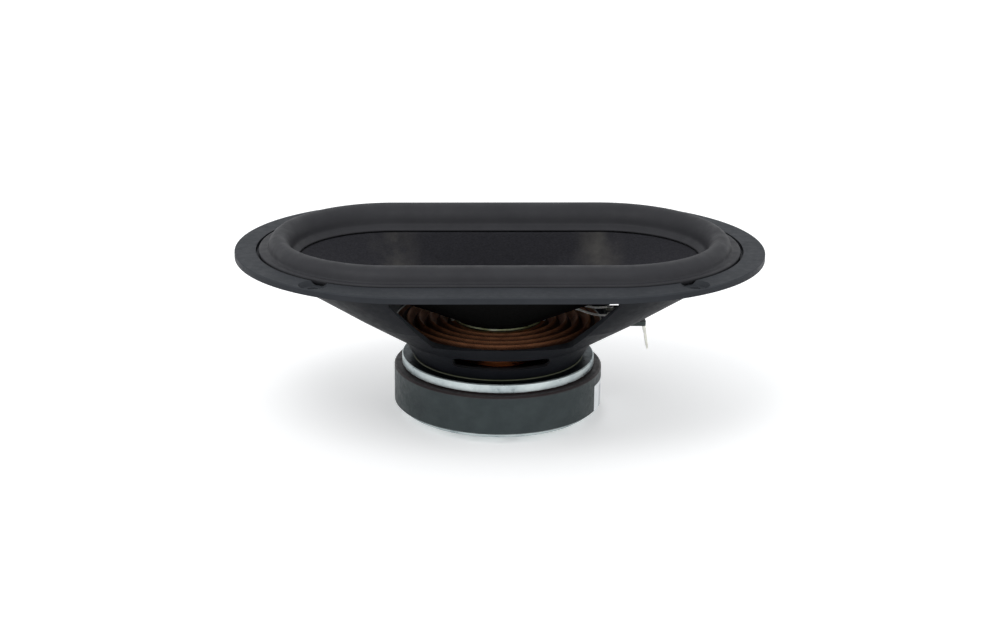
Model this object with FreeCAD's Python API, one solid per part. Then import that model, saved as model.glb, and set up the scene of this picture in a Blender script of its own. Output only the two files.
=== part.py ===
"""Oval car loudspeaker, 6 by 9 inch class.

Frame: the origin is the centre of the flange's rear face, +Z points the way the sound goes,
+X lies along the oval's long axis. All sizes are in millimetres.
"""
import FreeCAD
import Part
import os
from math import acos, cos, pi, radians, sin, tan

V = FreeCAD.Vector

# ---- flange and basket --------------------------------------------------------------------
# ovals are (overall length, overall width, length of the straight part of the long sides)
FLANGE = (235.0, 150.0, 78.6)
FLANGE_THICK, FLANGE_EDGE_R = 2.8, 0.5
SEAT = (216.1, 123.4, 91.8)             # recess that takes the surround's lip
SEAT_Z, SEAT_UNDER_Z = 0.8, -1.5        # upper and lower face of the recess's floor
SEAT_HOLE = (201.0, 110.6, 95.0)
TUB = (213.6, 130.0, 88.0)              # basket's outside just below the flange
TUB_WAIST_Z, TUB_WAIST_DRAW = -22.0, 1.7        # hollow of the end wings, on the diameter
WALL_END, WALL_SIDE = 5.2, 4.0          # wall at the ends and at the long sides, on the diameter
SCREW_SPACING_X, SCREW_SPACING_Y = 159.4, 114.0
SCREW_HOLE_R = 2.4
SCREW_POCKET_R, SCREW_POCKET_FLOOR_R, SCREW_POCKET_FLOOR_Z = 6.2, 4.6, 0.9
NECK_TOP_R, NECK_TOP_Z = 44.0, -36.7
NECK_FOOT_R, NECK_WALL = 37.8, 2.4
FOOT_THICK, FOOT_HOLE_R = 1.7, 29.2
RIM_R, RIM_Z = 47.9, -29.9              # ring round the spider's landing
LANDING_Z = -31.9                       # where the spider's rim is glued
LANDING_OUTER_R, LANDING_INNER_R = 46.4, 42.1
WINDOW_TOP_HALF, WINDOW_TOP_Z, WINDOW_TOP_CORNER_R = 50.4, -2.9, 2.0
WINDOW_FOOT_HALF, WINDOW_FOOT_CORNER_R = 29.6, 4.5
VENT_HALF, VENT_HEIGHT, VENT_Z = 21.2, 5.4, -38.5

# ---- magnet system ------------------------------------------------------------------------
PLATE_R, PLATE_THICK, PLATE_TOP_Z = 43.3, 4.0, -46.9
GAP_OUTER_R = 20.2
MAGNET_R, MAGNET_HOLE_R, MAGNET_THICK, MAGNET_EDGE = 46.8, 26.7, 17.6, 0.7
GLUE_THICK, GLUE_INSET = 0.5, 1.0
YOKE_R, YOKE_RIM_THICK, YOKE_THICK, YOKE_FLAT_R = 43.9, 1.8, 4.4, 30.6
POLE_R, POLE_VENT_R, POLE_VENT_FLARE = 18.1, 6.0, 2.5
RIVET_R, RIVET_HEAD_R, RIVET_HEAD_THICK, RIVET_RING_R = 1.5, 2.4, 1.0, 32.0
LABEL_PAPER, LABEL_TOP_Z, LABEL_HEIGHT = 0.15, -56.4, 12.4
LABEL_START_ANGLE, LABEL_ARC = -25.0, 42.0

# ---- moving parts -------------------------------------------------------------------------
FORMER_R, FORMER_WALL = 18.5, 0.25
FORMER_TOP_Z, FORMER_FOOT_Z = -28.4, -55.2
COIL_WALL, COIL_TOP_Z, COIL_FOOT_Z = 0.75, -43.4, -54.3
COLLAR_WALL = 0.2
WRAP_R = FORMER_R + FORMER_WALL + COLLAR_WALL
CONE_MOUTH, CONE_RIM_Z = (177.6, 77.2, 95.0), -1.9      # front face where the paper meets its rim
CONE_RIM = (181.6, 81.2, 95.0)          # outside of the flat rim
CONE_HIP_R, CONE_HIP_Z = 26.0, -25.1
CONE_NECK_R, CONE_NECK_Z, CONE_NECK_FOOT_Z = 19.4, -28.7, -30.1
CONE_DEPTH = 0.9                        # thickness of the paper, measured upright
CAP_R, CAP_HEIGHT, CAP_WALL = 24.3, 8.0, 0.6

# ---- soft parts ---------------------------------------------------------------------------
LIP = (213.6, 120.6, 91.8)
ROLL_OUTER = (205.4, 114.6, 95.0)       # feet of the half roll
ROLL_INNER = (184.4, 85.0, 95.0)
ROLL_STEPS, ROLL_HALF = 12, 7.4         # spans in the half roll's arch, and half its width
ROLL_FOOT_Z, ROLL_INNER_Z, ROLL_RISE = 3.4, 0.6, 6.9
RUBBER = 1.1
BAND = (178.4, 78.0, 95.0)              # inner edge of the band that is glued to the cone
BAND_THICK, BAND_GAP = 0.8, 0.3         # the gap is the film of glue under the band
SPIDER_INNER_R, SPIDER_OUTER_R = 19.3, 46.0
SPIDER_ROLLS, SPIDER_FIRST_R = 4, 21.5
SPIDER_SWING, SPIDER_CLOTH = 1.7, 0.5

# ---- terminals and leads ------------------------------------------------------------------
BOARD_INNER_X, BOARD_OUTER_X, BOARD_HALF = 48.4, 65.3, 12.0
BOARD_Z, BOARD_THICK, BOARD_CORNER_R = -30.8, 1.9, 1.2
SLOT_HALF, SLOT_TOP_Z = 17.0, -26.2     # gap in the end wall that the board passes through
SHELF_INNER_X, SHELF_OUTER_X, SHELF_THICK = 43.5, 53.5, 1.6
BOARD_RIVET_X, BOARD_RIVET_R = 51.0, 1.4
BOARD_RIVET_HEAD_R, BOARD_RIVET_HEAD_THICK = 2.1, 0.4
TERMINAL_Y, TAB_RIVET_X, TAB_RIVET_R = 6.0, 60.0, 1.1
TAB_THICK, TAB_LEAN, TAB_FOOT_HALF = 0.8, 1.6, 2.4
WIDE_TAB_WIDTH, WIDE_TAB_FOOT_Z = 6.3, -42.7
NARROW_TAB_WIDTH, NARROW_TAB_FOOT_Z = 4.8, -40.0
LUG_THICK, LUG_HALF, LUG_EYE_R = 0.5, 1.6, 2.4
LEAD_D = 1.1
# points that one lead passes near, for the positive side of Y
LEAD_ROUTE = [(21.6, 1.8, -29.8), (26.5, 2.9, -27.2), (31.8, 3.6, -24.9), (35.6, 4.2, -25.4),
              (39.8, 4.8, -26.9), (44.0, 5.3, -27.8), (47.6, 5.7, -27.8), (51.2, 6.0, -27.5)]
JOINT_R, JOINT_PLACE = 1.3, (20.5, 1.8, -30.5)

SEGMENT = radians(20.0)         # half angle of the round sections' short arcs


def ellipse_arc(cx, p, q, z, start, stop):
    """Arc of an ellipse with half axes p along X and q along Y, between two angles."""
    centre = V(cx, 0, z)
    if abs(p - q) < 1e-6:
        return Part.Arc(Part.Circle(centre, V(0, 0, 1), p), start, stop).toShape()
    if p > q:
        curve = Part.Ellipse(V(cx + p, 0, z), V(cx, q, z), centre)
        return Part.ArcOfEllipse(curve, start, stop).toShape()
    curve = Part.Ellipse(V(cx, q, z), V(cx - p, 0, z), centre)
    return Part.ArcOfEllipse(curve, start - pi / 2, stop - pi / 2).toShape()


def oval(length, width, straight, z):
    """Oval outline: two straight sides joined by half ellipses, in six edges."""
    s, p, q = straight / 2, (length - straight) / 2, width / 2
    edges = [
        ellipse_arc(s, p, q, z, 0, pi / 2),
        Part.makeLine(V(s, q, z), V(-s, q, z)),
        ellipse_arc(-s, p, q, z, pi / 2, pi),
        ellipse_arc(-s, p, q, z, pi, 3 * pi / 2),
        Part.makeLine(V(-s, -q, z), V(s, -q, z)),
        ellipse_arc(s, p, q, z, 3 * pi / 2, 2 * pi),
    ]
    return Part.Wire(edges)


def ring(radius, z):
    """Round outline in the same six edges, so that it lofts cleanly to an oval."""
    circle = Part.Circle(V(0, 0, z), V(0, 0, 1), radius)
    stops = [0, pi / 2 - SEGMENT, pi / 2 + SEGMENT, pi,
             3 * pi / 2 - SEGMENT, 3 * pi / 2 + SEGMENT, 2 * pi]
    return Part.Wire([Part.Arc(circle, a, b).toShape() for a, b in zip(stops, stops[1:])])


def loft(*wires):
    return Part.makeLoft(list(wires), True, True)


def prism(wire, height):
    return Part.Face(wire).extrude(V(0, 0, height))


def tube(outer_r, inner_r, low, high):
    body = Part.makeCylinder(outer_r, high - low, V(0, 0, low))
    return body.cut(Part.makeCylinder(inner_r, high - low, V(0, 0, low)))


def revolve(points):
    """Turn an outline of (radius, z) points about Z."""
    corners = [V(r, 0, z) for r, z in points]
    return Part.Face(Part.makePolygon(corners + corners[:1])).revolve(V(0, 0, 0), V(0, 0, 1), 360)


def box(x0, x1, y0, y1, z0, z1):
    return Part.makeBox(x1 - x0, y1 - y0, z1 - z0, V(x0, y0, z0))


def closed_skin(wires):
    """Solid whose skin runs through the wires in turn and back to the first."""
    faces = []
    for one, other in zip(wires, wires[1:] + wires[:1]):
        faces += [Part.makeRuledSurface(a, b)
                  for a, b in zip(one.OrderedEdges, other.OrderedEdges)]
    shell = Part.Compound(faces)
    shell.sewShape(1e-4)
    solid = Part.makeSolid(Part.Shell(shell.Faces))
    if solid.Volume < 0:
        solid.reverse()
    return solid


def mix(a, b, t):
    return a + (b - a) * t


def route_tube(name, points, diameter):
    """Tube along straight runs joined by tangent arcs; prints the arcs' radii."""
    corners = [V(*p) for p in points]
    edges, radii, here = [], [], corners[0]
    for before, corner, after in zip(corners, corners[1:], corners[2:]):
        back, on = before - corner, after - corner
        shorter = min(back.Length, on.Length)
        back.normalize()
        on.normalize()
        half_turn = (pi - acos(max(-1.0, min(1.0, back.dot(on))))) / 2
        reach = 0.45 * shorter
        radius = reach / tan(half_turn)
        radii.append(radius)
        first, last = corner + back * reach, corner + on * reach
        inward = back + on
        inward.normalize()
        middle = corner + inward * (radius / cos(half_turn) - radius)
        edges += [Part.makeLine(here, first), Part.Arc(first, middle, last).toShape()]
        here = last
    edges.append(Part.makeLine(here, corners[-1]))
    path = Part.Wire(edges)
    start = corners[1] - corners[0]
    section = Part.Wire(Part.makeCircle(diameter / 2, corners[0], start))
    solid = path.makePipeShell([section], True, False)
    expected = pi * diameter ** 2 / 4 * path.Length
    print(name, "length", round(path.Length, 1), "radii", [round(r, 1) for r in radii],
          "volume", round(solid.Volume, 2), "section x length", round(expected, 2))
    return solid


# ---- basket -------------------------------------------------------------------------------
def four_places(x, y):
    return [V(sx * x, sy * y, 0) for sx in (-1, 1) for sy in (-1, 1)]


def screw_places():
    return four_places(SCREW_SPACING_X / 2, SCREW_SPACING_Y / 2)


def rivet_places():
    return four_places(RIVET_RING_R * cos(pi / 4), RIVET_RING_R * sin(pi / 4))


def tub_size(z, draw):
    """Length, width and straight of the tub's outside at a height, drawn in by an amount."""
    t = z / NECK_TOP_Z
    straight = 2 * NECK_TOP_R * sin(SEGMENT)
    return [mix(TUB[0], 2 * NECK_TOP_R, t) - draw, mix(TUB[1], 2 * NECK_TOP_R, t),
            mix(TUB[2], straight, t)]


def side_cutters():
    """Window and vent slot for one long side, as bars along Y from the axis outwards."""
    outline = [V(-WINDOW_TOP_HALF, 0, WINDOW_TOP_Z), V(WINDOW_TOP_HALF, 0, WINDOW_TOP_Z),
               V(WINDOW_FOOT_HALF, 0, RIM_Z), V(-WINDOW_FOOT_HALF, 0, RIM_Z)]
    window = Part.Face(Part.makePolygon(outline + outline[:1])).extrude(V(0, FLANGE[1], 0))
    bars = [e for e in window.Edges if abs(e.Length - FLANGE[1]) < 1e-6]
    high = [e for e in bars if e.CenterOfMass.z > RIM_Z + 1]
    window = window.makeFillet(WINDOW_TOP_CORNER_R, high)
    bars = [e for e in window.Edges if abs(e.Length - FLANGE[1]) < 1e-6
            and abs(e.CenterOfMass.z - RIM_Z) < 1e-6]
    window = window.makeFillet(WINDOW_FOOT_CORNER_R, bars)
    r = VENT_HEIGHT / 2
    vent = box(r - VENT_HALF, VENT_HALF - r, 0, RIM_R, VENT_Z - r, VENT_Z + r)
    for side in (-1, 1):
        end = V(side * (VENT_HALF - r), 0, VENT_Z)
        vent = vent.fuse(Part.makeCylinder(r, RIM_R, end, V(0, 1, 0)))
    for cutter in (window, vent):
        cutter.translate(V(0, FOOT_HOLE_R - 4, 0))
    return [window, vent]


def basket():
    foot_z = PLATE_TOP_Z
    flange = prism(oval(*FLANGE, 0), FLANGE_THICK)
    flange = flange.makeFillet(FLANGE_EDGE_R, [e for e in flange.Edges if e.BoundBox.ZMin > 1])
    tub = loft(oval(*TUB, 0), oval(*tub_size(TUB_WAIST_Z, TUB_WAIST_DRAW), TUB_WAIST_Z),
               ring(NECK_TOP_R, NECK_TOP_Z))
    tub = tub.fuse(prism(oval(*TUB, 0), SEAT_Z))
    rim = Part.makeCone(NECK_TOP_R, RIM_R, RIM_Z - NECK_TOP_Z, V(0, 0, NECK_TOP_Z))
    neck = Part.makeCone(NECK_FOOT_R, NECK_TOP_R, NECK_TOP_Z - foot_z, V(0, 0, foot_z))
    shelf = box(SHELF_INNER_X, SHELF_OUTER_X, -BOARD_HALF - 1, BOARD_HALF + 1,
                BOARD_Z - SHELF_THICK, BOARD_Z)
    outside = flange.fuse([tub, rim, neck, shelf])

    # the inside, from the surround's recess down to the foot
    recess = prism(oval(*SEAT, SEAT_Z), FLANGE_THICK)
    seat_hole = prism(oval(*SEAT_HOLE, SEAT_UNDER_Z), SEAT_Z - SEAT_UNDER_Z)
    length, width, straight = tub_size(SEAT_UNDER_Z, WALL_END)
    bowl = loft(oval(length, width - WALL_SIDE, straight, SEAT_UNDER_Z),
                ring(LANDING_OUTER_R - NECK_WALL, LANDING_Z))
    landing = tube(LANDING_OUTER_R, LANDING_INNER_R - 0.5, LANDING_Z, RIM_Z + 1.0)
    floor_z = foot_z + FOOT_THICK
    well = loft(ring(NECK_FOOT_R - NECK_WALL, floor_z),
                ring(LANDING_INNER_R - 0.6, NECK_TOP_Z + 2.0), ring(LANDING_INNER_R, LANDING_Z))
    foot_hole = Part.makeCylinder(FOOT_HOLE_R, FOOT_THICK, V(0, 0, foot_z))
    shape = outside.cut([recess, seat_hole, bowl, landing, well, foot_hole])

    # window and vent in both long sides, the board's slot, and the holes
    cuts = side_cutters()
    for cutter in side_cutters():
        cutter.rotate(V(0, 0, 0), V(0, 0, 1), 180)
        cuts.append(cutter)
    cuts.append(box(SHELF_INNER_X, FLANGE[0] / 2, -SLOT_HALF, SLOT_HALF, BOARD_Z, SLOT_TOP_Z))
    for place in screw_places():
        cuts.append(Part.makeCone(SCREW_POCKET_FLOOR_R, SCREW_POCKET_R,
                                  FLANGE_THICK - SCREW_POCKET_FLOOR_Z,
                                  place + V(0, 0, SCREW_POCKET_FLOOR_Z)))
        cuts.append(Part.makeCylinder(SCREW_HOLE_R, 2 * FLANGE_THICK, place - V(0, 0, 1)))
    for place in rivet_places():
        cuts.append(Part.makeCylinder(RIVET_R, 2 * FOOT_THICK, place + V(0, 0, foot_z - 1)))
    cuts.append(Part.makeCylinder(BOARD_RIVET_R, 2 * SHELF_THICK,
                                  V(BOARD_RIVET_X, 0, BOARD_Z - SHELF_THICK - 1)))
    spot = 3 * BOARD_RIVET_HEAD_THICK       # spot face that clears the rivet's lower head
    cuts.append(Part.makeCylinder(BOARD_RIVET_HEAD_R + 0.3, spot,
                                  V(BOARD_RIVET_X, 0, BOARD_Z - SHELF_THICK - spot)))
    return shape.cut(cuts).removeSplitter()


def foot_glue():
    """Bead of glue where the basket's foot meets the top plate."""
    slope = (NECK_TOP_R - NECK_FOOT_R) / (NECK_TOP_Z - PLATE_TOP_Z)
    return revolve([(NECK_FOOT_R, PLATE_TOP_Z), (NECK_FOOT_R + 0.6, PLATE_TOP_Z),
                    (NECK_FOOT_R + 0.5, PLATE_TOP_Z + 0.25),
                    (NECK_FOOT_R + 0.35 * slope, PLATE_TOP_Z + 0.35)])


# ---- magnet system ------------------------------------------------------------------------
def broken_ring(outer_r, inner_r, low, high, break_low, break_high):
    """Ring whose outer corners are broken at 45 degrees."""
    return revolve([(inner_r, low), (outer_r - break_low, low), (outer_r, low + break_low),
                    (outer_r, high - break_high), (outer_r - break_high, high), (inner_r, high)])


def top_plate():
    low = PLATE_TOP_Z - PLATE_THICK
    plate = broken_ring(PLATE_R, GAP_OUTER_R, low, PLATE_TOP_Z, 0.2, 0.4)
    holes = [Part.makeCylinder(RIVET_R, PLATE_THICK, p + V(0, 0, low)) for p in rivet_places()]
    return plate.cut(holes)


def plate_rivets():
    """Four rivets that clamp the basket's foot to the top plate."""
    rivets = []
    for place in rivet_places():
        low = PLATE_TOP_Z - PLATE_THICK
        head_z = PLATE_TOP_Z + FOOT_THICK
        shank = Part.makeCylinder(RIVET_R, head_z - low, place + V(0, 0, low))
        head = Part.makeCone(RIVET_HEAD_R, RIVET_HEAD_R * 0.6, RIVET_HEAD_THICK,
                             place + V(0, 0, head_z))
        rivets.append(shank.fuse(head).removeSplitter())
    return Part.makeCompound(rivets)


def magnet_top_z():
    return PLATE_TOP_Z - PLATE_THICK - GLUE_THICK


def magnet():
    high = magnet_top_z()
    return broken_ring(MAGNET_R, MAGNET_HOLE_R, high - MAGNET_THICK, high,
                       MAGNET_EDGE, MAGNET_EDGE)


def yoke_top_z():
    return magnet_top_z() - MAGNET_THICK - GLUE_THICK


def yoke():
    """Back plate and pole in one forging, vented, with a tapered underside."""
    top = yoke_top_z()
    vent_foot = POLE_VENT_R + POLE_VENT_FLARE
    return revolve([
        (POLE_VENT_R, PLATE_TOP_Z + 0.5), (POLE_VENT_R, top - YOKE_THICK + POLE_VENT_FLARE),
        (vent_foot, top - YOKE_THICK), (YOKE_FLAT_R, top - YOKE_THICK),
        (YOKE_R - 0.5, top - YOKE_RIM_THICK), (YOKE_R, top - YOKE_RIM_THICK + 0.5),
        (YOKE_R, top - 0.3), (YOKE_R - 0.3, top), (POLE_R + 2.0, top), (POLE_R, top + 2.0),
        (POLE_R, PLATE_TOP_Z), (POLE_R - 0.5, PLATE_TOP_Z + 0.5)])


def magnet_glue(low):
    """Film of glue on one face of the magnet."""
    return tube(PLATE_R - GLUE_INSET, MAGNET_HOLE_R + GLUE_INSET, low, low + GLUE_THICK)


def magnet_label():
    """Blank paper sticker wrapped round part of the magnet."""
    low = LABEL_TOP_Z - LABEL_HEIGHT
    skin = tube(MAGNET_R + LABEL_PAPER, MAGNET_R, low, LABEL_TOP_Z)
    wedge = Part.makeCylinder(MAGNET_R + 5, LABEL_HEIGHT, V(0, 0, low), V(0, 0, 1), LABEL_ARC)
    wedge.rotate(V(0, 0, 0), V(0, 0, 1), LABEL_START_ANGLE)
    return skin.common(wedge)


# ---- moving parts -------------------------------------------------------------------------
def cone_front_z(radius):
    """Height of the paper's front face between the neck and the hip."""
    return mix(CONE_NECK_Z, CONE_HIP_Z, (radius - CONE_NECK_R) / (CONE_HIP_R - CONE_NECK_R))


def cone():
    def paper(drop):
        return loft(ring(CONE_NECK_R, CONE_NECK_Z - drop), ring(CONE_HIP_R, CONE_HIP_Z - drop),
                    oval(*CONE_MOUTH, CONE_RIM_Z - drop))
    front = paper(0)
    neck = Part.makeCylinder(CONE_NECK_R, 2.5, V(0, 0, CONE_NECK_FOOT_Z))
    rim = prism(oval(*CONE_RIM, CONE_RIM_Z - CONE_DEPTH), CONE_DEPTH)
    hollow = Part.makeCylinder(WRAP_R, 8, V(0, 0, CONE_NECK_FOOT_Z - 2))
    inside = paper(CONE_DEPTH)
    shape = inside.fuse([neck, rim.cut(inside)]).cut([front, hollow])
    return shape.removeSplitter()


def dust_cap():
    """Shallow dome glued into the cone over the coil."""
    rise, half = CAP_HEIGHT, CAP_R
    cap_z = cone_front_z(CAP_R)
    sphere_r = (half ** 2 + rise ** 2) / (2 * rise)
    centre = V(0, 0, cap_z + rise - sphere_r)
    dome = Part.makeSphere(sphere_r, centre).cut(Part.makeSphere(sphere_r - CAP_WALL, centre))
    return dome.common(Part.makeCylinder(half, rise + 1, V(0, 0, cap_z)))


def cap_glue():
    """Bead between the dome's edge and the cone."""
    outer = CAP_R + 1.4
    return revolve([(CAP_R, cone_front_z(CAP_R)), (outer, cone_front_z(outer)),
                    (CAP_R, cone_front_z(CAP_R) + 0.9)])


def former():
    return tube(FORMER_R + FORMER_WALL, FORMER_R, FORMER_FOOT_Z, FORMER_TOP_Z)


def winding():
    inner = FORMER_R + FORMER_WALL
    return broken_ring(inner + COIL_WALL, inner, COIL_FOOT_Z, COIL_TOP_Z, 0.15, 0.15)


def former_collar():
    """Paper wrap that stiffens the former between the winding and the cone's neck."""
    return tube(WRAP_R, FORMER_R + FORMER_WALL, COIL_TOP_Z + 0.6, FORMER_TOP_Z)


def neck_glue():
    """Bead of glue round the joint of the cone, the former and its collar."""
    low, outer = CONE_NECK_FOOT_Z, WRAP_R + 1.0
    return revolve([(WRAP_R, low - 0.4), (WRAP_R + 0.6, low - 0.3), (outer, low),
                    (outer, cone_front_z(outer) - CONE_DEPTH),
                    (CONE_NECK_R, CONE_NECK_Z - CONE_DEPTH), (CONE_NECK_R, low), (WRAP_R, low)])


def spider_z(radius):
    """Height of the spider cloth's middle at a radius."""
    level = LANDING_Z + SPIDER_CLOTH / 2
    if not SPIDER_FIRST_R < radius < LANDING_INNER_R:
        return level
    turns = SPIDER_ROLLS * (radius - SPIDER_FIRST_R) / (LANDING_INNER_R - SPIDER_FIRST_R)
    return level - SPIDER_SWING * sin(2 * pi * turns)


def spider():
    """Corrugated cloth disc that centres the coil."""
    steps = 96
    radii = [mix(SPIDER_INNER_R, SPIDER_OUTER_R, i / steps) for i in range(steps + 1)]
    half = SPIDER_CLOTH / 2
    over = [(r, spider_z(r) + half) for r in radii]
    under = [(r, spider_z(r) - half) for r in reversed(radii)]
    return revolve(over + under)


def spider_glue():
    """Bead that holds the spider's inner edge to the former."""
    mid = LANDING_Z + SPIDER_CLOTH / 2
    return tube(SPIDER_INNER_R, WRAP_R, mid - 0.8, mid + 0.6)


def spider_rim_glue():
    """Fillet of glue between the spider's rim and the basket's landing."""
    return revolve([(SPIDER_OUTER_R, LANDING_Z), (LANDING_OUTER_R, LANDING_Z),
                    (LANDING_OUTER_R, LANDING_Z + 0.9), (SPIDER_OUTER_R, LANDING_Z + 0.6)])


def surround():
    """Rubber half roll with a lip for the basket and a band for the cone."""
    def arch(thinner):
        wires = []
        for i in range(ROLL_STEPS + 1):
            turn = pi * i / ROLL_STEPS
            t = 0.5 - (0.5 - thinner / (2 * ROLL_HALF)) * cos(turn)
            drop = thinner if i in (0, ROLL_STEPS) else 0
            foot = mix(ROLL_FOOT_Z, ROLL_INNER_Z, i / ROLL_STEPS) - drop
            sizes = [mix(o, i, t) for o, i in zip(ROLL_OUTER, ROLL_INNER)]
            wires.append(oval(*sizes, foot + (ROLL_RISE - thinner) * sin(turn)))
        return wires

    band_z = CONE_RIM_Z + BAND_GAP
    top = [oval(*LIP, ROLL_FOOT_Z)] + arch(0.0) + [oval(*BAND, band_z + BAND_THICK)]
    bottom = [oval(*BAND, band_z), oval(*CONE_RIM, band_z)] + list(reversed(arch(RUBBER)))
    return closed_skin(top + bottom + [oval(*LIP, SEAT_Z)])


# ---- terminals and leads ------------------------------------------------------------------
def terminal_board():
    board = box(BOARD_INNER_X, BOARD_OUTER_X, -BOARD_HALF, BOARD_HALF,
                BOARD_Z, BOARD_Z + BOARD_THICK)
    corners = [e for e in board.Edges if abs(e.Length - BOARD_THICK) < 1e-6]
    board = board.makeFillet(BOARD_CORNER_R, corners)
    holes = [Part.makeCylinder(BOARD_RIVET_R, BOARD_THICK, V(BOARD_RIVET_X, 0, BOARD_Z))]
    for side in (-1, 1):
        holes.append(Part.makeCylinder(TAB_RIVET_R, BOARD_THICK,
                                       V(TAB_RIVET_X, side * TERMINAL_Y, BOARD_Z)))
    return board.cut(holes)


def board_rivet():
    """Rivet that holds the terminal board to the basket's shelf."""
    low, high = BOARD_Z - SHELF_THICK, BOARD_Z + BOARD_THICK
    shank = Part.makeCylinder(BOARD_RIVET_R, high - low, V(BOARD_RIVET_X, 0, low))
    crown_r, thick = 0.75 * BOARD_RIVET_HEAD_R, BOARD_RIVET_HEAD_THICK
    top = Part.makeCone(BOARD_RIVET_HEAD_R, crown_r, thick, V(BOARD_RIVET_X, 0, high))
    under = Part.makeCone(crown_r, BOARD_RIVET_HEAD_R, thick, V(BOARD_RIVET_X, 0, low - thick))
    return shank.fuse([top, under]).removeSplitter()


def terminal_tab(side, width, foot_z):
    """Push-on tab: a foot under the board, then a blade hanging from the board's outer end."""
    y = side * TERMINAL_Y
    x, low = BOARD_OUTER_X, BOARD_Z - TAB_THICK
    foot = box(TAB_RIVET_X - TAB_FOOT_HALF, x, y - TAB_FOOT_HALF, y + TAB_FOOT_HALF,
               low, BOARD_Z)
    tip = x + TAB_LEAN
    profile = [V(x - TAB_THICK, 0, BOARD_Z), V(x, 0, BOARD_Z), V(tip, 0, foot_z + 1.0),
               V(tip - 0.25, 0, foot_z), V(tip - TAB_THICK + 0.25, 0, foot_z),
               V(tip - TAB_THICK, 0, foot_z + 1.0)]
    blade = Part.Face(Part.makePolygon(profile + profile[:1])).extrude(V(0, width, 0))
    blade.translate(V(0, y - width / 2, 0))
    dimple = Part.makeCylinder(0.7, 6, V(x - 2, y, mix(BOARD_Z, foot_z, 0.6)), V(1, 0, 0))
    rivet = Part.makeCylinder(TAB_RIVET_R, TAB_THICK, V(TAB_RIVET_X, y, low))
    return foot.fuse(blade).cut([dimple, rivet]).removeSplitter()


def solder_lug(side):
    """Strip on top of the board that carries the current from the lead to the tab's rivet."""
    y, low = side * TERMINAL_Y, BOARD_Z + BOARD_THICK
    strip = box(BOARD_INNER_X + 0.6, TAB_RIVET_X, y - LUG_HALF, y + LUG_HALF,
                low, low + LUG_THICK)
    eye = Part.makeCylinder(LUG_EYE_R, LUG_THICK, V(TAB_RIVET_X, y, low))
    hole = Part.makeCylinder(TAB_RIVET_R, LUG_THICK, V(TAB_RIVET_X, y, low))
    return strip.fuse(eye).cut(hole).removeSplitter()


def tab_rivets():
    """Two hollow rivets, one for each tab and its lug."""
    rivets = []
    low, high = BOARD_Z - TAB_THICK, BOARD_Z + BOARD_THICK + LUG_THICK
    for side in (-1, 1):
        place = V(TAB_RIVET_X, side * TERMINAL_Y, 0)
        shank = Part.makeCylinder(TAB_RIVET_R, high - low, place + V(0, 0, low))
        top = Part.makeCylinder(1.8, 0.4, place + V(0, 0, high))
        under = Part.makeCylinder(1.8, 0.4, place + V(0, 0, low - 0.4))
        bore = Part.makeCylinder(0.6, 10, place + V(0, 0, low - 2))
        rivets.append(shank.fuse([top, under]).cut(bore))
    return Part.makeCompound(rivets)


def lead(side):
    points = [(x, side * y, z) for x, y, z in LEAD_ROUTE]
    return route_tube("wide_tab_lead" if side < 0 else "narrow_tab_lead", points, LEAD_D)


def lead_joints(neighbours):
    """Blobs of glue over the ends of the coil's wire, two at the leads and one opposite."""
    x, y, z = JOINT_PLACE
    blobs = []
    for sx, sy in ((1, -1), (1, 1), (-1, -1)):
        cut = Part.makeSphere(JOINT_R, V(sx * x, sy * y, z)).cut(neighbours)
        blobs.append(max(cut.Solids, key=lambda solid: solid.Volume))
    return Part.makeCompound(blobs)


# ---- the whole speaker --------------------------------------------------------------------
def build():
    parts = {
        "basket": basket(),
        "foot_glue": foot_glue(),
        "top_plate": top_plate(),
        "plate_rivets": plate_rivets(),
        "magnet": magnet(),
        "yoke": yoke(),
        "magnet_glue_front": magnet_glue(magnet_top_z()),
        "magnet_glue_rear": magnet_glue(yoke_top_z()),
        "magnet_label": magnet_label(),
        "cone": cone(),
        "dust_cap": dust_cap(),
        "dust_cap_glue": cap_glue(),
        "coil_former": former(),
        "coil_winding": winding(),
        "former_collar": former_collar(),
        "neck_glue": neck_glue(),
        "spider": spider(),
        "spider_neck_glue": spider_glue(),
        "spider_rim_glue": spider_rim_glue(),
        "surround": surround(),
        "terminal_board": terminal_board(),
        "board_rivet": board_rivet(),
        "wide_tab": terminal_tab(-1, WIDE_TAB_WIDTH, WIDE_TAB_FOOT_Z),
        "narrow_tab": terminal_tab(1, NARROW_TAB_WIDTH, NARROW_TAB_FOOT_Z),
        "wide_tab_lug": solder_lug(-1),
        "narrow_tab_lug": solder_lug(1),
        "tab_rivets": tab_rivets(),
        "wide_tab_lead": lead(-1),
        "narrow_tab_lead": lead(1),
    }
    neighbours = [parts[name] for name in ("cone", "neck_glue", "former_collar", "coil_former",
                                           "spider", "spider_neck_glue",
                                           "wide_tab_lead", "narrow_tab_lead")]
    parts["lead_joints"] = lead_joints(neighbours)
    return parts


os.makedirs("parts", exist_ok=True)
for name, shape in build().items():
    shape.exportStep("parts/%s.step" % name)
    print(name, "solids", len(shape.Solids), "valid", shape.isValid(),
          "volume", round(shape.Volume, 1))
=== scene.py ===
"""Looks of the oval car speaker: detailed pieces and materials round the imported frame."""

from math import acos, cos, pi, radians, sin, tan

import bpy
import numpy as np
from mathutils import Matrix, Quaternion, Vector, noise


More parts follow.
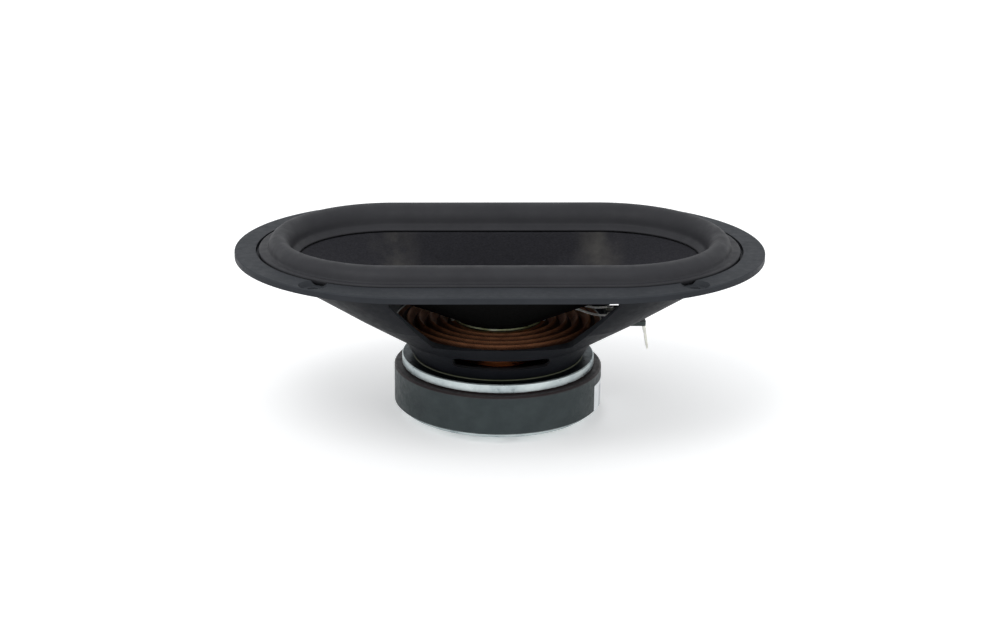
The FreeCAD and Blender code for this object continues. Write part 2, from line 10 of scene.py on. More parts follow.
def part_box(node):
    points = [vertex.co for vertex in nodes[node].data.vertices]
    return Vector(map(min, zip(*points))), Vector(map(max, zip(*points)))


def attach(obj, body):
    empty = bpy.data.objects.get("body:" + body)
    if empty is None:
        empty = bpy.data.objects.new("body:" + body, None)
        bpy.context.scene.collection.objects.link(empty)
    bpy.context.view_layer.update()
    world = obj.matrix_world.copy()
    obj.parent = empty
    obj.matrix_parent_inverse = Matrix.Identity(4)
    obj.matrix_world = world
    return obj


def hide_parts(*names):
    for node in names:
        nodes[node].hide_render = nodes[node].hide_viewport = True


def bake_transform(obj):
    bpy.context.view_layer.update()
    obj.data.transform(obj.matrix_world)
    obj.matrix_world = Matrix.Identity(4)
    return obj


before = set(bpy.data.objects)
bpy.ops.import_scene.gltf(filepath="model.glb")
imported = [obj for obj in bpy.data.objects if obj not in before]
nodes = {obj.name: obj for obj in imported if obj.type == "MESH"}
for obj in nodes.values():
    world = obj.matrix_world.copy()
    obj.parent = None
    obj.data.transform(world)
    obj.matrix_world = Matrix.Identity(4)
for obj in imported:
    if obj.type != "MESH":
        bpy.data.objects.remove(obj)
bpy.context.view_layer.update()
CHASSIS, CONE = "chassis", "cone_assembly"
scene = bpy.context.scene

# Sizes in millimetres, as in the CAD source. Ovals are (length, width, straight part).
LIP = (213.6, 120.6, 91.8)
ROLL_OUTER = (205.4, 114.6, 95.0)
ROLL_INNER = (184.4, 85.0, 95.0)
ROLL_FOOT_Z, ROLL_INNER_Z, ROLL_RISE = 3.4, 0.6, 6.9
RUBBER = 1.1
BAND = (178.4, 78.0, 95.0)
CONE_MOUTH, CONE_RIM = (177.6, 77.2, 95.0), (181.6, 81.2, 95.0)
CONE_RIM_Z = -1.9
CONE_HIP_R, CONE_HIP_Z = 26.0, -25.1
CONE_NECK_R, CONE_NECK_Z = 19.42, -28.7
CONE_PAPER = 0.87                       # thickness of the paper, measured upright
SPIDER_INNER_R, SPIDER_OUTER_R, SPIDER_FIRST_R, SPIDER_LAST_R = 19.3, 46.0, 21.5, 42.1
LANDING_Z, SPIDER_ROLLS, SPIDER_SWING, SPIDER_CLOTH = -31.9, 4, 1.7, 0.5
COIL_TOP_Z, COIL_FOOT_Z, COIL_INNER_R = -43.45, -54.25, 18.76
LEAD_ROUTE = [(21.6, 1.8, -29.8), (26.5, 2.9, -27.2), (31.8, 3.6, -24.9), (35.6, 4.2, -25.4),
              (39.8, 4.8, -26.9), (44.0, 5.3, -27.8), (47.6, 5.7, -27.8), (51.2, 6.0, -27.5)]
LEAD_D, LEAD_LENGTH = 1.1, 31.3
LEAD_STEPS = 200                        # points along a lead's centreline
JOINT_X, JOINT_Y, JOINT_Z = 20.5, 1.8, -30.55
MM = 0.001                              # metres in a millimetre
QUARTER_STEPS, RUN_STEPS = 44, 20       # points on an outline's quarter turn and straight run
SEGMENT = radians(20)                   # half of the arc that matches an oval's straight run


# ---- camera, light and floor --------------------------------------------------------------
def camera():
    """Long lens a little above the flange, looking at the basket."""
    distance, elevation, azimuth, roll = 0.85255, 0.28886, -0.03984, -0.00182
    target = Vector((-0.03472, 0, -0.03189))
    data = bpy.data.cameras.new("camera")
    data.sensor_width, data.lens = 36.0, 68.793
    data.shift_x = 0.0789
    data.clip_start, data.clip_end = 0.05, 60
    cam = bpy.data.objects.new("camera", data)
    scene.collection.objects.link(cam)
    cam.location = distance * Vector((cos(elevation) * sin(azimuth),
                                      -cos(elevation) * cos(azimuth), sin(elevation)))
    forward = (target - cam.location).normalized()
    cam.rotation_mode = "QUATERNION"
    cam.rotation_quaternion = Quaternion(forward, -roll) @ forward.to_track_quat("-Z", "Y")
    scene.camera = cam


def area_light(name, place, target, size, power):
    data = bpy.data.lights.new(name, "AREA")
    data.shape = "RECTANGLE"
    data.size, data.size_y = size
    data.energy = power
    light = bpy.data.objects.new(name, data)
    scene.collection.objects.link(light)
    light.location = place
    light.rotation_mode = "QUATERNION"
    light.rotation_quaternion = (Vector(target) - Vector(place)).to_track_quat("-Z", "Y")


def studio():
    """Even pale surroundings, a large key from above and a weak fill from each side."""
    scene.view_settings.view_transform = "Standard"
    world = bpy.data.worlds.new("studio")
    scene.world = world
    world.use_nodes = True
    background = world.node_tree.nodes["Background"]
    background.inputs["Color"].default_value = (0.97, 0.985, 1, 1)
    background.inputs["Strength"].default_value = 0.85
    area_light("key", (-0.5, -0.7, 1.5), (0, 0, 0), (0.9, 0.9), 7)
    for side, power in ((-1, 0.9), (1, 1.3)):
        place, target = (0.75 * side, -0.9, 0.03), (-0.03 * side, -0.02, -0.03)
        area_light("fill", place, target, (0.25, 0.2), power)


def floor():
    """White ground under the yoke, a little self-lit so that it stays pale."""
    floor_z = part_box("yoke")[0].z
    half = 14
    mesh = bpy.data.meshes.new("floor")
    mesh.from_pydata([(-half, -half, floor_z), (half, -half, floor_z), (half, half, floor_z),
                      (-half, half, floor_z)], [], [(0, 1, 2, 3)])
    ground = bpy.data.objects.new("floor", mesh)
    scene.collection.objects.link(ground)
    mat = bpy.data.materials.new("floor")
    mat.use_nodes = True
    shader = mat.node_tree.nodes["Principled BSDF"]
    shader.inputs["Base Color"].default_value = (0.95, 0.95, 0.95, 1)
    shader.inputs["Roughness"].default_value = 0.7
    shader.inputs["Emission Color"].default_value = (1, 1, 1, 1)
    shader.inputs["Emission Strength"].default_value = 0.32
    ground.data.materials.append(mat)


camera()
studio()
floor()


# ---- material kit -------------------------------------------------------------------------
class Kit:
    """Small helper round one material's node tree."""

    def __init__(self, name, colour, roughness, metallic=0.0, specular=0.5):
        self.mat = bpy.data.materials.new(name)
        self.mat.use_nodes = True
        self.tree = self.mat.node_tree
        self.bsdf = self.tree.nodes["Principled BSDF"]
        self.bsdf.inputs["Base Color"].default_value = (*colour, 1)
        self.bsdf.inputs["Roughness"].default_value = roughness
        self.bsdf.inputs["Metallic"].default_value = metallic
        self.bsdf.inputs["Specular IOR Level"].default_value = specular
        self.coord = self.tree.nodes.new("ShaderNodeTexCoord").outputs["Object"]

    def node(self, kind, **values):
        made = self.tree.nodes.new("ShaderNode" + kind)
        for key, value in values.items():
            if key in made.inputs:
                made.inputs[key].default_value = value
            else:
                setattr(made, key, value)
        return made

    def link(self, out, into):
        self.tree.links.new(out, into)

    def noise(self, scale, detail=3.0, stretch=(1, 1, 1), rough=0.55):
        """Noise by place, from 0 to 1; scale in cycles per metre."""
        mapping = self.node("Mapping")
        mapping.inputs["Scale"].default_value = stretch
        self.link(self.coord, mapping.inputs["Vector"])
        tex = self.node("TexNoise", Scale=scale, Detail=detail, Roughness=rough)
        self.link(mapping.outputs["Vector"], tex.inputs["Vector"])
        return tex.outputs["Fac"]

    def ramp(self, value, *stops):
        """Colour ramp; each stop is (position, colour or grey)."""
        ramp = self.node("ValToRGB")
        self.link(value, ramp.inputs["Fac"])
        cells = ramp.color_ramp.elements
        while len(cells) < len(stops):
            cells.new(0.5)
        for cell, (place, tone) in zip(cells, stops):
            cell.position = place
            cell.color = (tone, tone, tone, 1) if isinstance(tone, float) else (*tone, 1)
        return ramp.outputs["Color"]

    def maths(self, what, a, b=None):
        made = self.node("Math", operation=what)
        for socket, value in zip(made.inputs, (a, b)):
            if isinstance(value, (int, float)):
                socket.default_value = value
            elif value is not None:
                self.link(value, socket)
        return made.outputs[0]

    def between(self, value, low, high):
        """0 at low, 1 at high, even in between and level outside."""
        made = self.node("MapRange")
        made.inputs["From Min"].default_value = low
        made.inputs["From Max"].default_value = high
        self.link(value, made.inputs["Value"])
        return made.outputs["Result"]

    def mix(self, factor, a, b):
        """Colour a where factor is 0, b where it is 1; each may be an output or a plain value."""
        made = self.node("Mix", data_type="RGBA")
        factor_in, a_in, b_in, colour_out = 0, 6, 7, 2
        for index, value in ((factor_in, factor), (a_in, a), (b_in, b)):
            if isinstance(value, tuple):
                made.inputs[index].default_value = (*value, 1)
            elif isinstance(value, (int, float)):
                made.inputs[index].default_value = value
            else:
                self.link(value, made.inputs[index])
        return made.outputs[colour_out]

    def colour(self, out):
        self.link(out, self.bsdf.inputs["Base Color"])

    def roughness(self, out):
        self.link(out, self.bsdf.inputs["Roughness"])

    def bump(self, height, distance):
        """Bump from a height of 0 to 1 that stands distance metres tall."""
        made = self.node("Bump", Strength=1.0, Distance=distance)
        self.link(height, made.inputs["Height"])
        if self.bsdf.inputs["Normal"].is_linked:
            self.link(self.bsdf.inputs["Normal"].links[0].from_socket, made.inputs["Normal"])
        self.link(made.outputs["Normal"], self.bsdf.inputs["Normal"])

    def xyz(self):
        """Place in metres."""
        parts = self.node("SeparateXYZ")
        self.link(self.coord, parts.inputs[0])
        return parts.outputs

    def radius(self):
        """Distance from the Z axis in metres."""
        x, y, _ = self.xyz()
        square = self.maths("ADD", self.maths("MULTIPLY", x, x), self.maths("MULTIPLY", y, y))
        return self.maths("SQRT", square)

    def weave(self, rate):
        """Threads that cross at right angles, from -1 to 1; rate in radians per metre."""
        x, y, _ = self.xyz()
        waves = [self.maths("SINE", self.maths("MULTIPLY", way, rate)) for way in (x, y)]
        return self.maths("MULTIPLY", *waves)

    def upward(self, low, high):
        """0 where the surface's normal climbs less than low, 1 where it climbs more than high."""
        parts = self.node("SeparateXYZ")
        self.link(self.node("NewGeometry").outputs["Normal"], parts.inputs[0])
        return self.between(parts.outputs[2], low, high)


def basket_plastic():
    """Near-black moulding of drifting tone, with painted light making the faces that look up
    paler and painted shade making those that look down darker.
    """
    kit = Kit("basket_plastic", (0.02, 0.023, 0.028), 0.5, specular=0.06)
    drift = kit.noise(60, 4)
    # Painted light and shade: faces that look down get the darker colour below, faces that look
    # up the paler one.
    shaded_underside = kit.ramp(drift, (0.3, (0.0055, 0.0062, 0.0080)), (0.7, (0.0078, 0.0086, 0.0108)))
    lit_topside = kit.ramp(drift, (0.3, (0.033, 0.036, 0.041)), (0.7, (0.042, 0.045, 0.051)))
    kit.colour(kit.mix(kit.upward(-0.4, 0.25), shaded_underside, lit_topside))
    kit.roughness(kit.ramp(kit.noise(300, 3), (0.3, 0.42), (0.7, 0.55)))
    kit.bump(kit.noise(2600, 2), 0.00003)
    kit.bump(kit.noise(70, 2), 0.00008)
    return kit.mat


def surround_rubber():
    """Dark rubber with a satin skin."""
    kit = Kit("surround_rubber", (0.03, 0.03, 0.033), 0.5, specular=0.22)
    tone = kit.ramp(kit.noise(45, 4), (0.3, (0.024, 0.024, 0.0275)), (0.7, (0.031, 0.031, 0.035)))
    kit.colour(tone)
    kit.roughness(kit.ramp(kit.noise(200, 3), (0.3, 0.48), (0.7, 0.62)))
    kit.bump(kit.noise(3500, 2), 0.00002)
    kit.bump(kit.noise(55, 2), 0.00025)
    return kit.mat


def cone_paper():
    """Dark pulp with painted highlights in pale streaks where the oval's ends begin, and painted
    shade that makes it nearly black behind.
    """
    kit = Kit("cone_paper", (0.015, 0.015, 0.015), 0.8, specular=0.08)
    fibres = kit.noise(1000, 4, (1, 1, 3))
    base = kit.ramp(fibres, (0.3, (0.0165, 0.0163, 0.0190)), (0.7, (0.029, 0.0287, 0.034)))
    # Painted highlights: pale streaks each side, about 47 mm out from the middle, where the
    # oval's ends begin to curve.
    highlight_x, reach = 0.047, 0.013
    across = kit.maths("ABSOLUTE", kit.xyz()[0])
    off = kit.maths("ABSOLUTE", kit.maths("SUBTRACT", across, highlight_x))
    highlight_streak = kit.between(off, reach, 0.0)
    highlight_streak = kit.maths("MULTIPLY", highlight_streak, kit.between(kit.noise(70, 3, (1, 1, 0.3)), 0.35, 0.75))
    front = kit.mix(highlight_streak, base, (0.080, 0.076, 0.070))
    # Painted shade: the faces that look down, at the cone's rear, get a nearly black colour.
    kit.colour(kit.mix(kit.upward(-0.2, 0.1), (0.0035, 0.0034, 0.0033), front))
    kit.roughness(kit.ramp(kit.noise(500, 4), (0.3, 0.66), (0.7, 0.88)))
    kit.bump(kit.noise(1300, 4), 0.00012)
    return kit.mat


def cap_cloth():
    """Fine black cloth under a thin coat."""
    kit = Kit("cap_cloth", (0.015, 0.015, 0.016), 0.6)
    tone = kit.ramp(kit.noise(300, 3), (0.3, (0.012, 0.012, 0.013)), (0.7, (0.022, 0.022, 0.023)))
    kit.colour(tone)
    kit.bump(kit.weave(9000), 0.00006)
    kit.roughness(kit.ramp(kit.noise(250, 3), (0.3, 0.5), (0.7, 0.7)))
    return kit.mat


def spider_cloth():
    """Coarse woven cloth stiffened with brown resin, with painted shade in bands on the outer
    slopes of its rolls.
    """
    kit = Kit("spider_cloth", (0.3, 0.12, 0.06), 0.7, specular=0.15)
    tone = kit.ramp(kit.noise(240, 4), (0.25, (0.20, 0.072, 0.030)), (0.75, (0.40, 0.165, 0.075)))
    # Painted shade: the outer slope of each roll is darkened in a band, whatever the light.
    pitch = (SPIDER_LAST_R - SPIDER_FIRST_R) * MM / SPIDER_ROLLS
    outward = kit.maths("SUBTRACT", kit.radius(), SPIDER_FIRST_R * MM)
    wave = kit.maths("MULTIPLY", outward, 2 * pi / pitch)
    outer_slope = kit.maths("COSINE", kit.maths("SUBTRACT", wave, 0.15 * pi))
    shade = kit.between(outer_slope, 0.1, 0.8)
    weave = kit.weave(8400)
    cloth = kit.mix(kit.between(weave, -0.2, 1.0), tone, (0.46, 0.21, 0.11))
    kit.colour(kit.mix(kit.maths("MULTIPLY", shade, 0.8), cloth, (0.035, 0.012, 0.005)))
    kit.bump(weave, 0.00012)
    kit.roughness(kit.ramp(kit.noise(400, 3), (0.3, 0.6), (0.7, 0.8)))
    return kit.mat


def zinc():
    """Blue-bright plating with dull stains, with painted shade that makes the faces that look up
    dark.
    """
    kit = Kit("zinc", (0.6, 0.66, 0.7), 0.3, metallic=1.0)
    stain = kit.noise(80, 6, (1, 1, 1), 0.65)
    bright = kit.ramp(stain, (0.33, (0.17, 0.21, 0.23)), (0.43, (0.42, 0.48, 0.49)),
                      (0.8, (0.66, 0.71, 0.70)))
    # Painted shade: the faces that look up get a dark colour in place of the plating's.
    kit.colour(kit.mix(kit.upward(0.75, 0.95), bright, (0.022, 0.038, 0.046)))
    kit.roughness(kit.ramp(kit.noise(350, 4), (0.3, 0.26), (0.7, 0.46)))
    kit.bump(kit.noise(900, 3, (1, 1, 6)), 0.00003)
    return kit.mat


def ferrite():
    """Ground grey-green ceramic, browner on its broken front edge."""
    kit = Kit("ferrite", (0.03, 0.04, 0.043), 0.5, specular=0.25)
    base = kit.ramp(kit.noise(120, 5), (0.3, (0.017, 0.025, 0.027)), (0.7, (0.028, 0.038, 0.040)))
    front = kit.between(kit.xyz()[2], -0.0526, -0.0518)     # starts just below the edge
    kit.colour(kit.mix(front, base, (0.030, 0.022, 0.023)))
    kit.roughness(kit.ramp(kit.noise(400, 4), (0.3, 0.38), (0.7, 0.58)))
    kit.bump(kit.noise(1500, 3), 0.00006)
    kit.bump(kit.noise(220, 3, (1, 1, 4)), 0.00010)
    return kit.mat


def label_paper():
    """White sticker with one faint grey bar and no print."""
    kit = Kit("label_paper", (0.8, 0.82, 0.84), 0.5)
    base = kit.ramp(kit.noise(150, 4), (0.3, (0.66, 0.69, 0.71)), (0.7, (0.80, 0.82, 0.84)))
    x, y, z = kit.xyz()
    bar_angle = -0.25
    off = kit.maths("ABSOLUTE", kit.maths("SUBTRACT", kit.maths("ARCTAN2", y, x), bar_angle))
    bar = kit.maths("MULTIPLY", kit.between(off, 0.05, 0.03), kit.between(z, -0.0578, -0.0588))
    kit.colour(kit.mix(kit.maths("MULTIPLY", bar, 0.6), base, (0.30, 0.32, 0.34)))
    kit.roughness(kit.ramp(kit.noise(500, 3), (0.3, 0.4), (0.7, 0.6)))
    kit.bump(kit.noise(900, 2), 0.00002)
    return kit.mat


def pale_glue():
    """Cured bead that varies from olive to cream along its length."""
    kit = Kit("pale_glue", (0.5, 0.52, 0.32), 0.3)
    kit.colour(kit.ramp(kit.noise(160, 4), (0.3, (0.16, 0.17, 0.06)), (0.5, (0.42, 0.45, 0.26)),
                        (0.7, (0.72, 0.74, 0.58))))
    kit.roughness(kit.ramp(kit.noise(500, 3), (0.3, 0.2), (0.7, 0.45)))
    kit.bump(kit.noise(700, 3), 0.00015)
    return kit.mat


def plain(name, colour, roughness, metallic=0.0, spread=0.12, grain=400):
    """Material with a little drift in tone, gloss and grain."""
    kit = Kit(name, colour, roughness, metallic)
    low = tuple(tone * (1 - spread) for tone in colour)
    high = tuple(min(1.0, tone * (1 + spread)) for tone in colour)
    kit.colour(kit.ramp(kit.noise(grain / 3, 4), (0.3, low), (0.7, high)))
    kit.roughness(kit.ramp(kit.noise(grain, 3), (0.3, roughness * 0.85),
                           (0.7, min(1.0, roughness * 1.15))))
    kit.bump(kit.noise(grain * 3, 2), 0.00003)
    return kit.mat


MATERIALS = {
    "basket": basket_plastic(), "rubber": surround_rubber(), "paper": cone_paper(),
    "cap": cap_cloth(), "spider": spider_cloth(), "zinc": zinc(), "ferrite": ferrite(),
    "label": label_paper(), "pale": pale_glue(),
    "rivet": plain("rivet_steel", (0.55, 0.55, 0.53), 0.35, 1.0),
    "adhesive": plain("magnet_adhesive", (0.030, 0.018, 0.018), 0.5),
    "fibre": plain("terminal_fibre", (0.010, 0.020, 0.019), 0.5),
    "tab": plain("tab_metal", (0.60, 0.60, 0.54), 0.34, 1.0, spread=0.25, grain=900),
    "former": plain("former_film", (0.20, 0.12, 0.05), 0.35),
    "copper": plain("copper_wire", (0.55, 0.17, 0.06), 0.38, 1.0),
    "collar": plain("collar_paper", (0.022, 0.019, 0.015), 0.75),
    "amber": plain("amber_glue", (0.16, 0.10, 0.035), 0.35),
    "olive": plain("foot_glue", (0.055, 0.062, 0.026), 0.4),
    "dark": plain("dark_glue", (0.008, 0.008, 0.008), 0.3),
    "white": plain("white_glue", (0.70, 0.70, 0.66), 0.4),
    "solder": plain("solder", (0.62, 0.62, 0.60), 0.28, 1.0),
    "tinsel": plain("tinsel_braid", (0.88, 0.86, 0.78), 0.4, 0.05, spread=0.3, grain=2400),
}
NODE_LOOK = {
    "basket": "basket", "foot_glue": "olive", "top_plate": "zinc", "plate_rivets": "rivet",
    "magnet": "ferrite", "yoke": "zinc", "magnet_glue_front": "adhesive",
    "magnet_glue_rear": "adhesive", "magnet_label": "label", "spider": "spider",
    "spider_rim_glue": "amber", "surround": "rubber", "terminal_board": "fibre",
    "board_rivet": "rivet", "wide_tab": "tab", "narrow_tab": "tab", "wide_tab_lug": "tab",
    "narrow_tab_lug": "tab", "tab_rivets": "rivet", "cone": "paper", "dust_cap": "cap",
    "dust_cap_glue": "dark", "coil_former": "former", "coil_winding": "copper",
    "former_collar": "collar", "neck_glue": "pale", "spider_neck_glue": "amber",
    "lead_joints": "white", "wide_tab_lead": "tinsel", "narrow_tab_lead": "tinsel",
}
for node, look in NODE_LOOK.items():
    nodes[node].data.materials.clear()
    nodes[node].data.materials.append(MATERIALS[look])


# ---- mesh helpers -------------------------------------------------------------------------
def piece(name, points, faces, look, body, stands_for):
    """Smooth mesh from points in millimetres, riding on a body unless body is None."""
    mesh = bpy.data.meshes.new(name)
    mesh.from_pydata((np.asarray(points, float) * MM).tolist(), [], faces)
    mesh.polygons.foreach_set("use_smooth", [True] * len(mesh.polygons))
    mesh.materials.append(MATERIALS[look])
    mesh.validate()
    obj = bpy.data.objects.new(name, mesh)
    scene.collection.objects.link(obj)
    if stands_for:
        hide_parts(*stands_for)
    if body:
        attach(obj, body)
    return obj


def oval(length, width, straight):
    """Outline points of an oval: each quarter ellipse and straight run in even steps."""
    half_run, reach, half_width = straight / 2, (length - straight) / 2, width / 2
    turn = np.linspace(0, pi / 2, QUARTER_STEPS, endpoint=False)
    first = np.c_[half_run + reach * np.cos(turn), half_width * np.sin(turn)]
    side = np.c_[np.linspace(half_run, -half_run, RUN_STEPS, endpoint=False),
                 np.full(RUN_STEPS, half_width)]
    last = np.c_[-half_run - reach * np.sin(turn), half_width * np.cos(turn)]
    half = np.r_[first, side, last]
    return np.r_[half, -half]


def circle(radius):
    """Outline points of a circle, spaced so that they match an oval's."""
    stops = [0, pi / 2 - SEGMENT, pi / 2 + SEGMENT, pi]
    steps = (QUARTER_STEPS, RUN_STEPS, QUARTER_STEPS)
    turn = np.concatenate([np.linspace(start, stop, count, endpoint=False)
                           for start, stop, count in zip(stops, stops[1:], steps)])
    half = radius * np.c_[np.cos(turn), np.sin(turn)]
    return np.r_[half, -half]


def skin(outlines, heights):
    """Points and faces of a skin through outlines at their heights, closed into a loop."""
    count = len(outlines[0])
    points = np.concatenate([np.c_[outline, np.broadcast_to(z, count)]
                             for outline, z in zip(outlines, heights)])
    faces = []
    for i in range(len(outlines)):
        here, on = i * count, (i + 1) % len(outlines) * count
        for j in range(count):
            beside = (j + 1) % count
            faces.append((here + j, here + beside, on + beside, on + j))
    return points, faces


def sizes(keys, place):
    """Oval sizes part of the way along a list of key ovals."""
    i = min(int(place), len(keys) - 2)
    return [low + (high - low) * (place - i) for low, high in zip(keys[i], keys[i + 1])]


def set_blend(obj):
    """Bake the mesh's placement into its points."""
    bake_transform(obj)


# ---- rubber surround ----------------------------------------------------------------------
def surround():
    """Half roll with filleted feet, a rounded lip and a thin band on the cone.

    The profile runs over the top and back underneath. Its first number says how far a point has
    gone along the key ovals, its second is the height.
    """
    keys = [LIP, ROLL_OUTER, ROLL_INNER, BAND]
    profile = [(0.0, 0.85), (0.0, 2.7), (0.04, 3.05), (0.14, 3.3), (0.28, 3.4), (0.7, 3.4),
               (0.86, 3.46), (0.96, 3.75), (1.003, 4.3)]
    drop = ROLL_FOOT_Z - ROLL_INNER_Z
    for turn in np.linspace(radians(15), radians(167), 30):
        z = ROLL_FOOT_Z - drop * turn / pi + ROLL_RISE * sin(turn)
        profile.append((1.5 - 0.5 * cos(turn), z))
    profile += [(2.004, 1.75), (2.05, 1.2), (2.16, 0.75), (2.35, 0.4), (2.7, -0.25), (2.93, -0.7),
                (3.0, -1.0), (2.99, -1.58), (2.5, -1.55), (2.1, -1.2)]
    for turn in np.linspace(radians(174), radians(10), 18):
        z = ROLL_FOOT_Z - RUBBER - drop * turn / pi + (ROLL_RISE - RUBBER) * sin(turn)
        profile.append((1.5 - 0.424 * cos(turn), z))
    profile += [(0.9, 0.9)]
    outlines = [oval(*sizes(keys, place)) for place, z in profile]
    points, faces = skin(outlines, [z for place, z in profile])
    obj = piece("rubber_surround", points, faces, "rubber", None, ["surround"])
    set_blend(obj)


# ---- corrugated spider --------------------------------------------------------------------
def spider():
    """Thin corrugated disc from the coil's collar to the basket's landing."""
    def height(r):
        turns = SPIDER_ROLLS * (r - SPIDER_FIRST_R) / (SPIDER_LAST_R - SPIDER_FIRST_R)
        inside = (turns > 0) & (turns < SPIDER_ROLLS)
        return LANDING_Z + SPIDER_CLOTH / 2 - SPIDER_SWING * np.where(
            inside, np.sin(2 * pi * turns), 0)

    steps, around = 130, 220
    radii = np.linspace(SPIDER_INNER_R, SPIDER_OUTER_R, steps)
    loop = np.r_[radii, radii[::-1]]
    faces_up = np.repeat([1, -1], steps)
    heights = height(loop) + faces_up * SPIDER_CLOTH / 2
    angles = np.linspace(0, 2 * pi, around, endpoint=False)
    outlines = [r * np.c_[np.cos(angles), np.sin(angles)] for r in loop]
    points, faces = skin(outlines, heights)
    obj = piece("spider_disc", points, faces, "spider", None, ["spider"])
    set_blend(obj)


# ---- paper cone ---------------------------------------------------------------------------
def cone():
    """Pulp shell with a soft break at the hip and a flat rim under the surround's band."""
    front = [(circle(CONE_NECK_R), CONE_NECK_Z), (circle(22.6), -26.97), (circle(25.4), -25.5)]
    mouth, rim, hip = oval(*CONE_MOUTH), oval(*CONE_RIM), circle(CONE_HIP_R)
    for share in np.linspace(0.025, 0.985, 26):
        z = CONE_HIP_Z + (CONE_RIM_Z - CONE_HIP_Z) * share
        front.append((hip + (mouth - hip) * share, z))
    front += [(mouth + (rim - mouth) * 0.05, -1.96), (rim, -1.93)]
    rear = [(outline, z - CONE_PAPER) for outline, z in front[::-1]]
    neck = [(circle(19.4), -30.08), (circle(18.97), -30.08), (circle(18.97), -28.8)]
    loop = front + rear + neck
    uneven, sunk = 0.10, 0.03           # how far the pulp wanders up and down, and lies low
    heights = []
    for outline, z in loop:
        drift = np.array([noise.noise(Vector((x * 0.12, y * 0.12, z * 0.05)))
                          for x, y in outline])
        heights.append(z + uneven * drift - sunk)
    points, faces = skin([outline for outline, z in loop], heights)
    piece("paper_cone", points, faces, "paper", CONE, ["cone"])


# ---- coil, beads and glue -----------------------------------------------------------------
def revolved(profile, steps, wobble=0.0, seed=0.0):
    """Closed skin of (radius, z) points turned about Z, with an uneven radius if asked."""
    angles = np.linspace(0, 2 * pi, steps, endpoint=False)
    drift = np.array([noise.noise(Vector((3 * cos(turn), 3 * sin(turn), seed)))
                      + 0.5 * noise.noise(Vector((11 * cos(turn), 11 * sin(turn), seed)))
                      for turn in angles])
    low = min(r for r, z in profile)
    outlines = []
    for r, z in profile:
        reach = r + wobble * drift * (r - low)
        outlines.append(reach[:, None] * np.c_[np.cos(angles), np.sin(angles)])
    return skin(outlines, [z for r, z in profile])


def coil():
    """Winding with each turn of wire standing out."""
    groove_r, shoulder_r, crown_r = 19.30, 19.44, 19.48
    pitch, wound = 0.36, 10.6
    profile = [(COIL_INNER_R, COIL_FOOT_Z), (COIL_INNER_R, COIL_TOP_Z)]
    for i in range(int(wound / pitch)):
        top = COIL_TOP_Z - 0.05 - i * pitch
        profile += [(groove_r, top), (shoulder_r, top - pitch * 0.25),
                    (crown_r, top - pitch * 0.5), (shoulder_r, top - pitch * 0.75)]
    points, faces = revolved(profile, 120)
    piece("coil_turns", points, faces, "copper", CONE, ["coil_winding"])


def neck_bead():
    """Uneven bead of glue under the cone's neck."""
    profile = [(18.96, -30.5), (19.3, -30.52), (19.7, -30.44), (19.95, -30.2), (20.02, -29.9),
               (19.9, -29.6), (19.45, -29.6), (19.43, -30.09), (18.96, -30.1)]
    points, faces = revolved(profile, 240, wobble=0.22, seed=4.0)
    piece("neck_bead", points, faces, "pale", CONE, ["neck_glue"])


def blob(centre, size, seed):
    """Points and faces of a lumpy drop; size is its three half axes."""
    rings, around = 12, 18
    points = []
    for i in range(rings + 1):
        up = -pi / 2 + pi * i / rings
        for j in range(around):
            turn = 2 * pi * j / around
            way = Vector((cos(up) * cos(turn), cos(up) * sin(turn), sin(up)))
            swell = 1 + 0.22 * noise.noise(way * 1.6 + Vector((seed, 0, 0)))
            points.append([middle + half * axis * swell
                           for middle, half, axis in zip(centre, size, way)])
    faces = [(i * around + j, i * around + (j + 1) % around,
              (i + 1) * around + (j + 1) % around, (i + 1) * around + j)
             for i in range(rings) for j in range(around)]
    return points, faces


def blobs(name, places, look, body, stands_for=()):
    """One piece made of several drops, each given as (centre, half axes)."""
    points, faces = [], []
    for seed, (centre, size) in enumerate(places):
        more, sides = blob(centre, size, 7.3 * seed)
        faces += [tuple(len(points) + corner for corner in side) for side in sides]
        points += more
    return piece(name, points, faces, look, body, stands_for)


def lead_path():
    """Points along one lead: straight runs joined by tangent arcs, in millimetres."""
    corners = [Vector(place) for place in LEAD_ROUTE]
    path = [corners[0]]
    for before, corner, after in zip(corners, corners[1:], corners[2:]):
        back, on = before - corner, after - corner
        reach = 0.45 * min(back.length, on.length)
        back.normalize()
        on.normalize()
        half_turn = (pi - acos(max(-1.0, min(1.0, back.dot(on))))) / 2
        radius = reach / tan(half_turn)
        middle = corner + (back + on).normalized() * (radius / cos(half_turn))
        start, stop = corner + back * reach - middle, corner + on * reach - middle
        for i in range(13):
            path.append(middle + radius * start.slerp(stop, i / 12))
    path.append(corners[-1])
    return path


def evenly(path, count):
    """The same line as count points in equal steps."""
    points = np.array([list(point) for point in path])
    along = np.r_[0, np.cumsum(np.linalg.norm(np.diff(points, axis=0), axis=1))]
    keep = np.r_[True, np.diff(along) > 1e-9]
    places = np.linspace(0, along[-1], count)
    return np.column_stack([np.interp(places, along[keep], points[keep][:, axis])
                            for axis in range(3)])


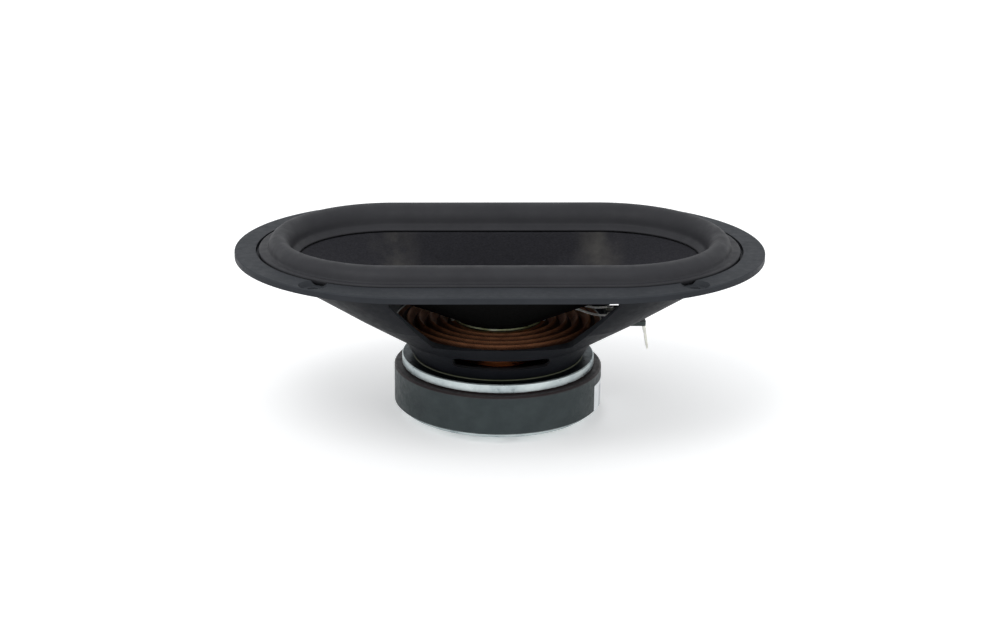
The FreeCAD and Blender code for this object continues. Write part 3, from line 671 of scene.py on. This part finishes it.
def lead(name, side, node):
    """Tinsel braid from the solder lug to the coil's wire under the cone.
    """
    path = (evenly(lead_path(), LEAD_STEPS) * (1, side, 1))[::-1]
    around, count = 20, LEAD_STEPS
    strands, repeat = 5, 9              # strands each way, and the steps to their next crossing
    tangent = np.gradient(path, axis=0)
    tangent /= np.linalg.norm(tangent, axis=1)[:, None]
    across = np.cross(tangent, (0, 0, 1))
    across /= np.linalg.norm(across, axis=1)[:, None]
    upward = np.cross(across, tangent)
    points = []
    for i in range(count):
        for j in range(around):
            turn = 2 * pi * j / around
            lay = 2 * pi * i / repeat
            weave = max(abs(sin((strands * turn + way * lay) / 2)) for way in (-1, 1))
            r = LEAD_D / 2 * (0.86 + 0.14 * weave)
            points.append(path[i] + r * (cos(turn) * across[i] + sin(turn) * upward[i]))
    faces = [(i * around + j, i * around + (j + 1) % around,
              (i + 1) * around + (j + 1) % around, (i + 1) * around + j)
             for i in range(count - 1) for j in range(around)]
    faces += [tuple(range(around)), tuple(range((count - 1) * around, count * around))]
    obj = piece(name, points, faces, "tinsel", None, [node])
    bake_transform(obj)


def lead_details():
    """Dabs of dark glue on each lead under the cone, joints at the neck, and solder."""
    glued = evenly(lead_path(), LEAD_STEPS)[24:68:8]        # the stretch that nears the cone
    dab, drop, joint = (0.42, 0.68, 0.66), (1.5, 1.15, 0.75), (1.1, 1.0, 1.15)
    dabs = [((x, side * y, z + 0.05), dab) for side in (-1, 1) for x, y, z in glued]
    solder = [((50.6, side * 6.0, -27.75), drop) for side in (-1, 1)]
    joints = [((sx * JOINT_X, sy * JOINT_Y, JOINT_Z), joint)
              for sx, sy in ((1, -1), (1, 1), (-1, -1))]
    blobs("lead_dabs", dabs, "dark", CONE)
    blobs("solder_drops", solder, "solder", CHASSIS)
    blobs("neck_joints", joints, "white", CONE, ["lead_joints"])


def soften(names, width):
    """Small rounded edges on the CAD pieces; width in metres."""
    for name in names:
        bevel = nodes[name].modifiers.new("edges", "BEVEL")
        bevel.width, bevel.segments = width, 2
        bevel.limit_method, bevel.angle_limit = "ANGLE", radians(40)
        bevel.use_clamp_overlap = True


surround()
spider()
cone()
coil()
neck_bead()
lead("tinsel_wide", -1, "wide_tab_lead")
lead("tinsel_narrow", 1, "narrow_tab_lead")
lead_details()
soften(["terminal_board", "wide_tab", "narrow_tab", "wide_tab_lug", "narrow_tab_lug"], 0.00015)
